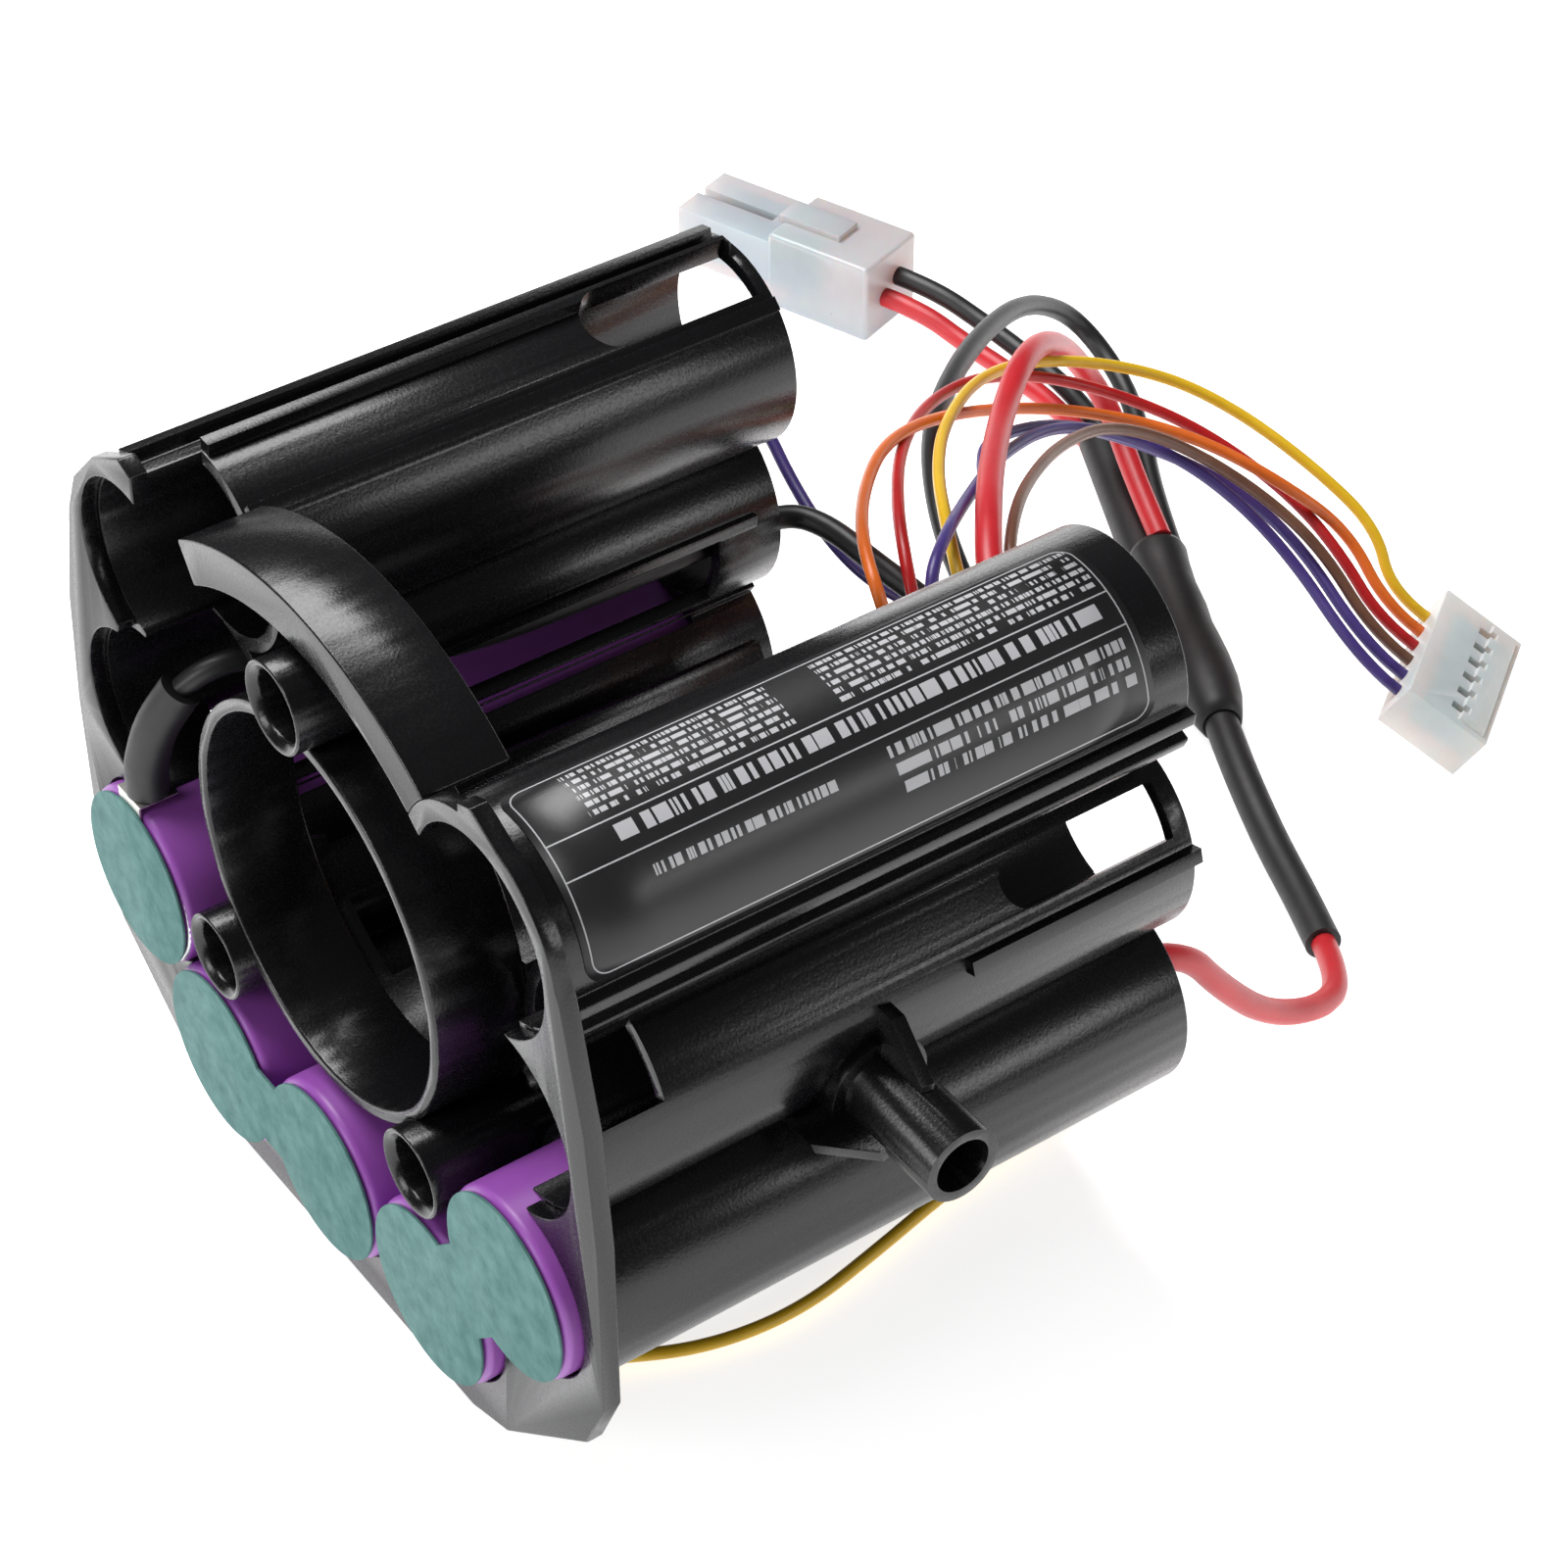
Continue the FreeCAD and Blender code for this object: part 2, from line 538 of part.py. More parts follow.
def power_connector():
    length, width, height = power_body
    nose_length, nose_width, nose_height = power_nose
    body = Part.makeBox(length, width, height, Vector(0, -width / 2, 0))
    body = body.makeFillet(0.6, body.Edges)
    nose_z = (height - nose_height) / 2
    nose = Part.makeBox(nose_length + 1, nose_width, nose_height, Vector(length - 1, -nose_width / 2, nose_z))
    body = body.fuse(nose)
    gap = Part.makeBox(nose_length, 1.4, nose_height + 2, Vector(length + 2.5, -0.7, nose_z - 1))
    body = body.cut(gap)
    for side in (-1, 1):
        chamber = Part.makeBox(nose_length + 6, 3.0, nose_height - 2.4,
                               Vector(length - 6, side * power_pin_pitch / 2 - 1.5, nose_z + 1.2))
        body = body.cut(chamber)
    latch = Part.makeBox(9.0, 4.0, 1.2, Vector(length - 8.5, -2.0, height - 0.4))
    body = body.fuse(latch)
    body.Placement = power_place
    return largest(body)


def power_terminals():
    height = power_body[2]
    pins = []
    for side in (-1, 1):
        pins.append(Part.makeBox(11.0, 2.2, 2.2, Vector(power_body[0] - 6, side * power_pin_pitch / 2 - 1.1,
                                                        height / 2 - 1.1)))
    shape = Part.makeCompound(pins)
    shape.Placement = power_place
    return shape


# ---------------------------------------------------------------- nodes
def near_tab():
    """Strip on the first cell, with a lug folded over the shoulder for the thermal cut-off."""
    upright = on_bay(box(near_strip_x, can_start, -5.0, 10.2, -2, 2), cell_centres[0], 90)
    y, z = cell_centres[0]
    lug = box(near_strip_x, 4.4, y - 2.3, y + 2.0, z + 10.0, z + 10.0 + strip_thk)
    return largest(upright.fuse(lug))


def far_paper(shape):
    """Far paper with the opening the red lead comes through."""
    lead = routes["red_return"][0]
    centre = (lead[1] - shift.y, lead[2] - shift.z)
    return shape.cut(rod(can_end, bay_end, cord_dia["red_return"] / 2 + 0.1, centre))


near_strip_x = paper_thk
far_paper_x = can_end + strip_thk
nodes = {"duct_front": duct_front(), "duct_rear": duct_rear(), "front_flange": front_flange(),
         "collar_band": collar_band(), "side_stub": side_stub(), "label": label(),
         "screw_bosses": Part.makeCompound(list(map(screw_boss, boss_centres, boss_lengths)))}
for index, name in enumerate(bay_names):
    nodes[name] = bay(index)
for index in range(len(cell_centres)):
    nodes["cell_can_%d" % (index + 1)] = cell_can(index)
    nodes["cell_wrap_%d" % (index + 1)] = cell_wrap(index)
nodes["paper_near_1"] = paper(0, 0)
nodes["paper_near_2_3"] = paper(0, 1, 2)
nodes["paper_near_4_5"] = paper(0, 3, 4)
nodes["strip_near_1"] = near_tab()
nodes["strip_near_2_3"] = strip(1, 2, near_strip_x)
nodes["strip_near_4_5"] = strip(3, 4, near_strip_x)
nodes["strip_far_1_2"] = strip(0, 1, can_end)
nodes["strip_far_3_4"] = strip(2, 3, can_end)
nodes["strip_far_5"] = tab(4, can_end)
nodes["paper_far_1_2"] = paper(far_paper_x, 0, 1)
nodes["paper_far_3_4"] = paper(far_paper_x, 2, 3)
nodes["paper_far_5"] = far_paper(paper(far_paper_x, 4))
for shape in nodes.values():
    shape.translate(shift)

for name, points in routes.items():
    nodes[name] = cord(name, points, cord_dia.get(name, sense_dia))
nodes["thermal_sleeve"] = cord("thermal_sleeve", thermal_route, thermal_sleeve_dia)
nodes["fuse_sleeve"] = cord("fuse_sleeve", fuse_route, fuse_sleeve_dia)
nodes["upper_sleeve"] = sleeve(upper_route, upper_sleeve_dia)
nodes["joint_sleeve"] = sleeve(joint_route, joint_sleeve_dia)
nodes["sense_connector"] = sense_connector()
nodes["sense_terminals"] = sense_terminals()
nodes["power_connector"] = power_connector()
nodes["power_terminals"] = power_terminals()

for name, shape in nodes.items():
    print("%-18s solids %d  volume %9.1f  valid %s  box %s" % (
        name, len(shape.Solids), shape.Volume, shape.isValid(),
        " ".join("%.1f" % v for v in (shape.BoundBox.XMin, shape.BoundBox.YMin, shape.BoundBox.ZMin,
                                      shape.BoundBox.XMax, shape.BoundBox.YMax, shape.BoundBox.ZMax))))
    shape.exportStep("parts/%s.step" % name)
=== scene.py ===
import bpy, bmesh, json, math
from mathutils import Matrix, Vector


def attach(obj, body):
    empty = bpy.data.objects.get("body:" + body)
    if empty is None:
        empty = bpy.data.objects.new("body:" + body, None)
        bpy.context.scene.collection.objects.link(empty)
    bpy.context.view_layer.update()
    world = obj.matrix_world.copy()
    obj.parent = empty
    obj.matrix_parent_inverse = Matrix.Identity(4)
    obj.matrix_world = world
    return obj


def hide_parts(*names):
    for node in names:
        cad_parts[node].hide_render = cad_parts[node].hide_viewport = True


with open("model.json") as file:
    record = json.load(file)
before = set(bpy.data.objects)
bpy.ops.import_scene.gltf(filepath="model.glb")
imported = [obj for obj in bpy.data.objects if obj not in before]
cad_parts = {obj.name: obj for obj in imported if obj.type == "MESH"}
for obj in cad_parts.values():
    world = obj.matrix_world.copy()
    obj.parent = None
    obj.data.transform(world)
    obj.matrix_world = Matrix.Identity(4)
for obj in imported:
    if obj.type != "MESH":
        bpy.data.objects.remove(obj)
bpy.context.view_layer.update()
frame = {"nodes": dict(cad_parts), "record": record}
nodes = frame["nodes"]
mm = 0.001
rowShift = Vector((-33.65, 4.95, 44.3))          # from the duct axis to the row's origin, in mm


def place(x, y, z):                              # a point laid out about the duct axis
    return (Vector((x, y, z)) + rowShift) * mm


# ---------------------------------------------------- shared effects
def makeGroup(name, ins, outs):
    group = bpy.data.node_groups.new(name, "ShaderNodeTree")
    for label, kind, value in ins:
        socket = group.interface.new_socket(name=label, in_out="INPUT", socket_type=kind)
        socket.default_value = value
    for label, kind in outs:
        group.interface.new_socket(name=label, in_out="OUTPUT", socket_type=kind)
    start = group.nodes.new("NodeGroupInput")
    end = group.nodes.new("NodeGroupOutput")
    return group, start, end


def grainGroup():                                # fine grain, as a normal and a mask
    group, start, end = makeGroup("fineGrain", [
        ("Scale", "NodeSocketFloat", 2500.0), ("Strength", "NodeSocketFloat", 0.2),
        ("Depth", "NodeSocketFloat", 0.00005)], [("Normal", "NodeSocketVector"), ("Mask", "NodeSocketFloat")])
    coords = group.nodes.new("ShaderNodeTexCoord")
    noise = group.nodes.new("ShaderNodeTexNoise")
    noise.inputs["Detail"].default_value = 3.0
    bump = group.nodes.new("ShaderNodeBump")
    link = group.links.new
    link(coords.outputs["Object"], noise.inputs["Vector"])
    link(start.outputs["Scale"], noise.inputs["Scale"])
    link(start.outputs["Strength"], bump.inputs["Strength"])
    link(start.outputs["Depth"], bump.inputs["Distance"])
    link(noise.outputs["Fac"], bump.inputs["Height"])
    link(bump.outputs["Normal"], end.inputs["Normal"])
    link(noise.outputs["Fac"], end.inputs["Mask"])
    return group


def mottleGroup():                               # slow change between two colours
    group, start, end = makeGroup("mottle", [
        ("Low", "NodeSocketColor", (0.1, 0.1, 0.1, 1)), ("High", "NodeSocketColor", (0.2, 0.2, 0.2, 1)),
        ("Scale", "NodeSocketFloat", 120.0)], [("Color", "NodeSocketColor"), ("Mask", "NodeSocketFloat")])
    coords = group.nodes.new("ShaderNodeTexCoord")
    noise = group.nodes.new("ShaderNodeTexNoise")
    noise.inputs["Detail"].default_value = 5.0
    noise.inputs["Roughness"].default_value = 0.65
    ramp = group.nodes.new("ShaderNodeMapRange")
    ramp.inputs["From Min"].default_value = 0.3
    ramp.inputs["From Max"].default_value = 0.7
    mix = group.nodes.new("ShaderNodeMix")
    mix.data_type = "RGBA"
    link = group.links.new
    link(coords.outputs["Object"], noise.inputs["Vector"])
    link(start.outputs["Scale"], noise.inputs["Scale"])
    link(noise.outputs["Fac"], ramp.inputs["Value"])
    link(ramp.outputs["Result"], mix.inputs["Factor"])
    link(start.outputs["Low"], mix.inputs[6])
    link(start.outputs["High"], mix.inputs[7])
    link(mix.outputs[2], end.inputs["Color"])
    link(ramp.outputs["Result"], end.inputs["Mask"])
    return group


fineGrain = grainGroup()
mottle = mottleGroup()


def finish(name, low, high, scale, rough, grainScale, grain, depth=0.00004, **sockets):
    material = bpy.data.materials.new(name)
    material.use_nodes = True
    tree = material.node_tree
    shader = tree.nodes["Principled BSDF"]
    tone = tree.nodes.new("ShaderNodeGroup")
    tone.node_tree = mottle
    tone.inputs["Low"].default_value = (*low, 1)
    tone.inputs["High"].default_value = (*high, 1)
    tone.inputs["Scale"].default_value = scale
    texture = tree.nodes.new("ShaderNodeGroup")
    texture.node_tree = fineGrain
    texture.inputs["Scale"].default_value = grainScale
    texture.inputs["Strength"].default_value = grain
    texture.inputs["Depth"].default_value = depth
    spread = tree.nodes.new("ShaderNodeMapRange")
    spread.inputs["To Min"].default_value = rough[0]
    spread.inputs["To Max"].default_value = rough[1]
    tree.links.new(tone.outputs["Color"], shader.inputs["Base Color"])
    tree.links.new(texture.outputs["Mask"], spread.inputs["Value"])
    tree.links.new(spread.outputs["Result"], shader.inputs["Roughness"])
    tree.links.new(texture.outputs["Normal"], shader.inputs["Normal"])
    for socket, value in sockets.items():
        shader.inputs[socket.replace("_", " ")].default_value = value
    return material


finishes = {
    "holder_plastic": finish("moulded black", (0.0035, 0.0035, 0.0042), (0.006, 0.006, 0.007), 60, (0.15, 0.36),
                             3600, 0.42),
    "cell_steel": finish("can steel", (0.55, 0.55, 0.57), (0.65, 0.65, 0.67), 90, (0.25, 0.4), 2000, 0.1,
                         Metallic=1.0),
    "cell_wrap": finish("purple wrap", (0.30, 0.075, 0.42), (0.36, 0.095, 0.48), 80, (0.34, 0.44), 1500, 0.06),
    "fish_paper": finish("teal paper", (0.050, 0.145, 0.140), (0.115, 0.245, 0.230), 420, (0.75, 0.95), 2600, 0.5,
                         0.00008),
    "nickel": finish("nickel", (0.6, 0.58, 0.54), (0.7, 0.68, 0.64), 200, (0.25, 0.4), 1500, 0.1, Metallic=1.0),
    "heat_shrink": finish("heat shrink", (0.010, 0.010, 0.011), (0.016, 0.016, 0.017), 150, (0.42, 0.6), 900,
                          0.25, 0.0001),
    "wire_black": finish("black insulation", (0.010, 0.010, 0.011), (0.015, 0.015, 0.016), 200, (0.36, 0.5),
                         1500, 0.15),
    "wire_red": finish("red insulation", (0.50, 0.014, 0.022), (0.60, 0.022, 0.030), 150, (0.34, 0.46), 1500,
                       0.12),
    "sense_wire_yellow": finish("yellow insulation", (0.70, 0.42, 0.010), (0.80, 0.50, 0.02), 200, (0.3, 0.42),
                                1500, 0.1),
    "sense_wire_orange": finish("orange insulation", (0.66, 0.12, 0.012), (0.76, 0.16, 0.02), 200, (0.3, 0.42),
                                1500, 0.1),
    "sense_wire_red": finish("dark red insulation", (0.40, 0.008, 0.010), (0.50, 0.014, 0.015), 200, (0.3, 0.42),
                             1500, 0.1),
    "sense_wire_brown": finish("brown insulation", (0.12, 0.05, 0.03), (0.17, 0.075, 0.045), 200, (0.3, 0.42),
                               1500, 0.1),
    "sense_wire_purple": finish("purple insulation", (0.045, 0.025, 0.15), (0.065, 0.04, 0.20), 200,
                                (0.3, 0.42), 1500, 0.1),
    "white_nylon": finish("white nylon", (0.56, 0.56, 0.56), (0.64, 0.64, 0.63), 120, (0.35, 0.45), 1500, 0.08,
                          Subsurface_Weight=0.2),
    "clear_nylon": finish("milky nylon", (0.60, 0.565, 0.59), (0.68, 0.645, 0.67), 90, (0.25, 0.35), 1500, 0.06,
                          Subsurface_Weight=0.35, Transmission_Weight=0.25),
    "terminal_tin": finish("tin", (0.6, 0.59, 0.57), (0.7, 0.69, 0.67), 200, (0.3, 0.42), 1500, 0.1,
                           Metallic=1.0),
}
print("finishes ready")


def paint(piece, slot):
    piece.data.materials.clear()
    piece.data.materials.append(finishes[slot])


# ---------------------------------------------------- CAD nodes keep their shape and take a finish
record = frame["record"]
slotOf = {part["node"]: part["material_slot"] for part in record["subparts"]}
for name, node in nodes.items():
    slot = slotOf[name]
    if slot in finishes:
        for i in range(max(1, len(node.data.materials))):
            if i < len(node.data.materials):
                node.data.materials[i] = finishes[slot]
            else:
                node.data.materials.append(finishes[slot])

# ---------------------------------------------------- where the leads and sleeves run, in mm
routes = {
    "black_main": [(33.65, 28.9, 44.2), (36.8, 28.7, 44.2), (38.8, 24.5, 44.1), (39.4, 18.2, 43.4),
                   (41.5, 11, 41.5), (42.5, 3.5, 38), (46.5, 0.5, 32), (51, 4, 26.5), (53.5, 12, 26),
                   (54, 20.5, 30), (56.5, 30, 34.5), (65, 42.5, 35), (80.5, 57, 29.5), (97, 70, 22),
                   (108, 77, 15.5), (115.5, 78.5, 9.5), (116, 70.5, 5.5), (111.5, 61, 4.6),
                   (105.2, 51, 3.6), (100.2, 41, 3.2)],
    "red_main": [(28.65, -10.4, 31.4), (37, -10.4, 31.4), (42, -6, 36), (44.1, 0.5, 42),
                 (44.1, 6, 46.5), (49.2, 12.8, 47.8), (57, 22.2, 45), (67.9, 34, 40.5),
                 (76.4, 41.2, 40.2), (86.6, 49.2, 33.9), (101.6, 62.3, 18.5), (105.5, 60, 11),
                 (102.2, 51.2, 7.4), (98.5, 41.9, 6)],
    "sense_yellow": [(-29.85, -17.5, 2.2), (-24.5, -17.5, 2.1), (-18.5, -21, 1.3), (-10.5, -24.7, 1),
                     (-1, -25.9, 1), (9, -24, 1), (20, -21.5, 1), (33, -20, 1.6), (40, -16.5, 7),
                     (41, -11.5, 15.5), (41, -6.5, 24), (40.5, -1.5, 32), (41, 2.5, 40), (42, 7.8, 46),
                     (46.7, 16.3, 46.5), (53.2, 26.1, 44), (61.5, 35.6, 41), (73.7, 44.9, 37),
                     (86.5, 48.3, 32), (98.3, 44.6, 27.5), (104.3, 37.7, 24), (108, 27.9, 20),
                     (110.5, 20, 15.5), (108.7, 15.1, 10.6), (111.2, 11.5, 8)],
    "sense_orange": [(28.65, 13.4, 26.2), (33, 13.4, 26.2), (36.5, 11, 31), (35.5, 8.5, 39),
                     (31.4, 6.4, 49.5), (34.3, 13.4, 51), (41.7, 23.2, 48), (51.5, 32.4, 44.8),
                     (63.8, 38.4, 39.5), (79.6, 42.7, 31.5), (90.4, 40.3, 27), (96.1, 34, 25.3),
                     (100.4, 26.3, 22.8), (107.2, 21.1, 16), (106.5, 13.5, 10.6), (108.9, 10, 8)],
    "sense_red": [(-29.85, 14.35, 2.2), (-22, 14.35, 2.1), (-8, 14.2, 1.1), (8, 14, 1),
                  (23, 13.5, 1.1), (35, 12, 2.4), (40, 10, 10), (40.5, 8.5, 20), (39.5, 8.5, 30),
                  (39, 9.5, 39), (39.5, 13, 46), (44.2, 20.9, 46.5), (53.2, 32.3, 43.1),
                  (64.3, 42.2, 38.6), (75.3, 46.9, 35), (86.6, 47.2, 30), (95.8, 41.4, 25.5),
                  (100.9, 34.6, 22), (103.7, 25.7, 18.5), (104.2, 18.6, 15.2), (104.3, 12, 10.6),
                  (106.7, 8.5, 8)],
    "sense_brown": [(28.65, -6.5, 27.9), (34.5, -6.5, 27.9), (41, -4.5, 32), (47, 0.5, 38.5),
                    (47.2, 6.9, 46), (52, 12.5, 46), (59.8, 20.1, 43), (71.4, 28.8, 38),
                    (82.5, 33.9, 33), (91.1, 32.4, 28), (97.2, 26.1, 23), (101.3, 19.1, 17.5),
                    (102.1, 10.5, 10.6), (104.5, 6.9, 8)],
    "sense_purple_a": [(33.65, 45.6, 48.6), (38, 45.6, 48.6), (42, 40.5, 46.5), (41, 34.5, 43.3),
                       (40, 27, 41), (40.5, 20.5, 39.2), (43, 14.8, 38), (47.5, 12.5, 38.6),
                       (52.5, 15.5, 40), (56.5, 21, 40.8), (60.3, 27.8, 39.8), (65.3, 33.4, 38.6),
                       (78.1, 37.7, 33), (89.1, 38.2, 26), (97.7, 32.9, 20.5), (100.8, 22.9, 17),
                       (99.8, 8.9, 10.6), (102.3, 5.4, 8)],
    "sense_purple_b": [(28.65, 3.2, 24.4), (34, 3.2, 24.4), (37.5, 3.5, 31), (37, 4, 40.5),
                       (36.8, 6.2, 49.5), (42.2, 10.7, 49.9), (52.5, 20, 44.7), (63.1, 28.6, 40),
                       (75.5, 35.3, 35), (86, 36.3, 29.2), (92.9, 30.1, 25), (98.6, 22, 17),
                       (97.6, 7.4, 10.6), (100, 3.9, 8)],
    "power_black": [(106.6, 102.5, 6.2), (108.4, 97.3, 6.2), (110.5, 90.4, 4.4), (111.4, 82.6, 3.4),
                    (111.6, 73.5, 2.8), (109.1, 63.85, 2.5)],
    "power_red": [(103.9, 101.5, 4.6), (105.7, 96.3, 4.6), (107.6, 89.8, 2.6), (108.6, 82.3, 2.1),
                  (108.9, 73.8, 2.1), (106.85, 64.95, 2.5)],
    "red_return": [(32.25, -31, 31), (38, -31.5, 30), (44, -31.2, 21.5), (51.5, -30, 13),
                   (60, -28.7, 8), (66, -25.4, 5.8), (69.8, -18.6, 4)],
    "lead_black_inner": [(-27.8, 34.6, 48.5), (-25.4, 33.1, 51.2), (-20, 31.4, 51),
                         (-11.5, 29.8, 47.2), (0, 29, 44.6), (16, 28.9, 44.2), (33.65, 28.9, 44.2)],
    "thermal_route": [(-31.35, 36.9, 36.4), (-31.35, 36.9, 39.4), (-30.2, 36.1, 44.2),
                      (-27.8, 34.6, 48.5)],
    "upper_route": [(108, 64.4, 2.5), (97.1, 42.55, 2.5)],
    "joint_route": [(98.2, 42, 3.6), (84.5, 14.5, 3.6)],
    "fuse_route": [(84.5, 14.5, 3.6), (80.5, 6.4, 3.5), (76.6, -2.9, 2.9), (73.2, -11.4, 3.2),
                   (69.8, -18.6, 4)],
}

# ---------------------------------------------------- pieces taken from CAD nodes, with softened edges
def softEdged(name, width):
    mesh = nodes[name].data.copy()
    bm = bmesh.new()
    bm.from_mesh(mesh)
    bmesh.ops.remove_doubles(bm, verts=bm.verts, dist=0.000002)
    bmesh.ops.dissolve_limit(bm, angle_limit=math.radians(0.4), verts=bm.verts, edges=bm.edges)
    for face in bm.faces:
        face.smooth = True
    bm.to_mesh(mesh)
    bm.free()
    piece = bpy.data.objects.new(name + "_soft", mesh)
    bpy.context.scene.collection.objects.link(piece)
    bevel = piece.modifiers.new("softEdge", "BEVEL")
    bevel.width = width * mm
    bevel.segments = 2
    bevel.limit_method = "ANGLE"
    bevel.angle_limit = math.radians(34)
    bevel.harden_normals = True
    bevel.use_clamp_overlap = True
    paint(piece, slotOf[name])
    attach(piece, "root")
    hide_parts(name)
    return piece


bayNames = ["bay_top_far", "bay_middle_far", "bay_cell_1", "bay_cell_2", "bay_cell_3", "bay_cell_4", "bay_cell_5",
            "bay_middle_near", "bay_top_near"]
for name in bayNames + ["collar_band", "side_stub", "screw_bosses", "duct_rear"]:
    softEdged(name, 0.22)
for name in ("front_flange", "duct_front"):
    softEdged(name, 0.3)
senseHousing = softEdged("sense_connector", 0.14)
powerHousing = softEdged("power_connector", 0.14)
print("holder and connectors ready")


# ---------------------------------------------------- turned and formed pieces
def newPiece(name, bm, slot, replaced=()):
    mesh = bpy.data.meshes.new(name)
    bmesh.ops.recalc_face_normals(bm, faces=bm.faces)
    for face in bm.faces:
        face.smooth = True
    bm.to_mesh(mesh)
    bm.free()
    piece = bpy.data.objects.new(name, mesh)
    bpy.context.scene.collection.objects.link(piece)
    paint(piece, slot)
    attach(piece, "root")
    if replaced:
        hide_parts(*replaced)
    return piece


def turned(profile, start, end, steps=64):
    """Spin a closed profile of (along, radius) pairs, in mm, round the line from start to end."""
    axis = (Vector(end) - Vector(start)).normalized()
    side = axis.orthogonal().normalized()
    bm = bmesh.new()
    verts = [bm.verts.new((Vector(start) + axis * along + side * radius) * mm) for along, radius in profile]
    edges = [bm.edges.new((verts[i], verts[(i + 1) % len(verts)])) for i in range(len(verts))]
    bmesh.ops.spin(bm, geom=verts + edges, cent=Vector(start) * mm, axis=axis, angle=math.tau, steps=steps,
                   use_merge=True)
    bmesh.ops.remove_doubles(bm, verts=bm.verts, dist=0.000001)
    return bm


def corner(along, radius, size, first, last, count=6):
    """Points of a rounded corner about (along, radius)."""
    turn = [first + (last - first) * i / count for i in range(count + 1)]
    return [(along + size * math.cos(math.radians(a)), radius + size * math.sin(math.radians(a))) for a in turn]


cellPlaces = [(32.35, -18.1), (18.8, -31.2), (0.0, -31.2), (-18.8, -31.2), (-32.35, -18.1)]
wrapProfile = ([(0.44, 7.2)] + corner(1.34, 8.3, 0.9, 180, 90) + corner(64.86, 8.3, 0.9, 90, 0) + [(65.76, 7.2)]
               + [(65.71, 7.2), (65.71, 8.25)] + corner(64.9, 8.3, 0.8, 0, 90) + corner(1.3, 8.3, 0.8, 90, 180)
               + [(0.5, 7.2)])
for i, (y, z) in enumerate(cellPlaces):
    start = Vector((-33.65, y + 4.95, z + 44.3))
    bm = turned(wrapProfile, start, start + Vector((1, 0, 0)))
    newPiece(f"wrap_{i + 1}_shrunk", bm, "cell_wrap", (f"cell_wrap_{i + 1}",))

jointStart, jointEnd = Vector(routes["joint_route"][0]), Vector(routes["joint_route"][-1])
jointLength = (jointEnd - jointStart).length
jointProfile = [(0.0, 2.9), (0.0, 3.25), (0.8, 3.42), (3.0, 3.2), (7.0, 3.05), (11.0, 3.25), (14.5, 3.15),
                (17.0, 3.35), (20.5, 3.55), (24.0, 3.55), (27.0, 3.25), (jointLength - 1.6, 2.75),
                (jointLength, 2.3), (jointLength, 1.95), (jointLength - 3.0, 2.0), (12.0, 2.6)]
jointSleeve = newPiece("joint_sleeve_shrunk", turned(jointProfile, jointStart, jointEnd), "heat_shrink", ("joint_sleeve",))
print("wraps and sleeves ready")

# ---------------------------------------------------- label: a film with printed rules and rows of bars
def printGroup():                                # a soft-cornered outline about a box, in label mm
    group, start, end = makeGroup("ruledBox", [
        ("Place", "NodeSocketVector", (0, 0, 0)), ("Middle", "NodeSocketVector", (29, 9.5, 0)),
        ("Half", "NodeSocketVector", (28, 9, 0)), ("Corner", "NodeSocketFloat", 1.0),
        ("Line", "NodeSocketFloat", 0.12)], [("Mask", "NodeSocketFloat"), ("Inside", "NodeSocketFloat")])
    link = group.links.new

    def vectorStep(operation, a, b=None):
        step = group.nodes.new("ShaderNodeVectorMath")
        step.operation = operation
        for socket, value in zip(step.inputs, (a, b)):
            if isinstance(value, tuple):
                socket.default_value = value
            elif value is not None:
                link(value, socket)
        return step.outputs["Value"] if operation == "LENGTH" else step.outputs["Vector"]

    def step(operation, a, b=0.0):
        node = group.nodes.new("ShaderNodeMath")
        node.operation = operation
        for socket, value in zip(node.inputs, (a, b)):
            if isinstance(value, float):
                socket.default_value = value
            else:
                link(value, socket)
        return node.outputs["Value"]

    spread = group.nodes.new("ShaderNodeCombineXYZ")
    link(start.outputs["Corner"], spread.inputs["X"])
    link(start.outputs["Corner"], spread.inputs["Y"])
    offset = vectorStep("ABSOLUTE", vectorStep("SUBTRACT", start.outputs["Place"], start.outputs["Middle"]))
    core = vectorStep("SUBTRACT", start.outputs["Half"], spread.outputs["Vector"])
    beyond = vectorStep("SUBTRACT", offset, core)
    outside = vectorStep("LENGTH", vectorStep("MAXIMUM", beyond, (0.0, 0.0, 0.0)))
    parts = group.nodes.new("ShaderNodeSeparateXYZ")
    link(beyond, parts.inputs["Vector"])
    inner = step("MINIMUM", step("MAXIMUM", parts.outputs["X"], parts.outputs["Y"]), 0.0)
    away = step("SUBTRACT", step("ADD", outside, inner), start.outputs["Corner"])
    link(step("LESS_THAN", step("ABSOLUTE", away), start.outputs["Line"]), end.inputs["Mask"])
    link(step("LESS_THAN", away, 0.0), end.inputs["Inside"])
    return group


ruledBox = printGroup()


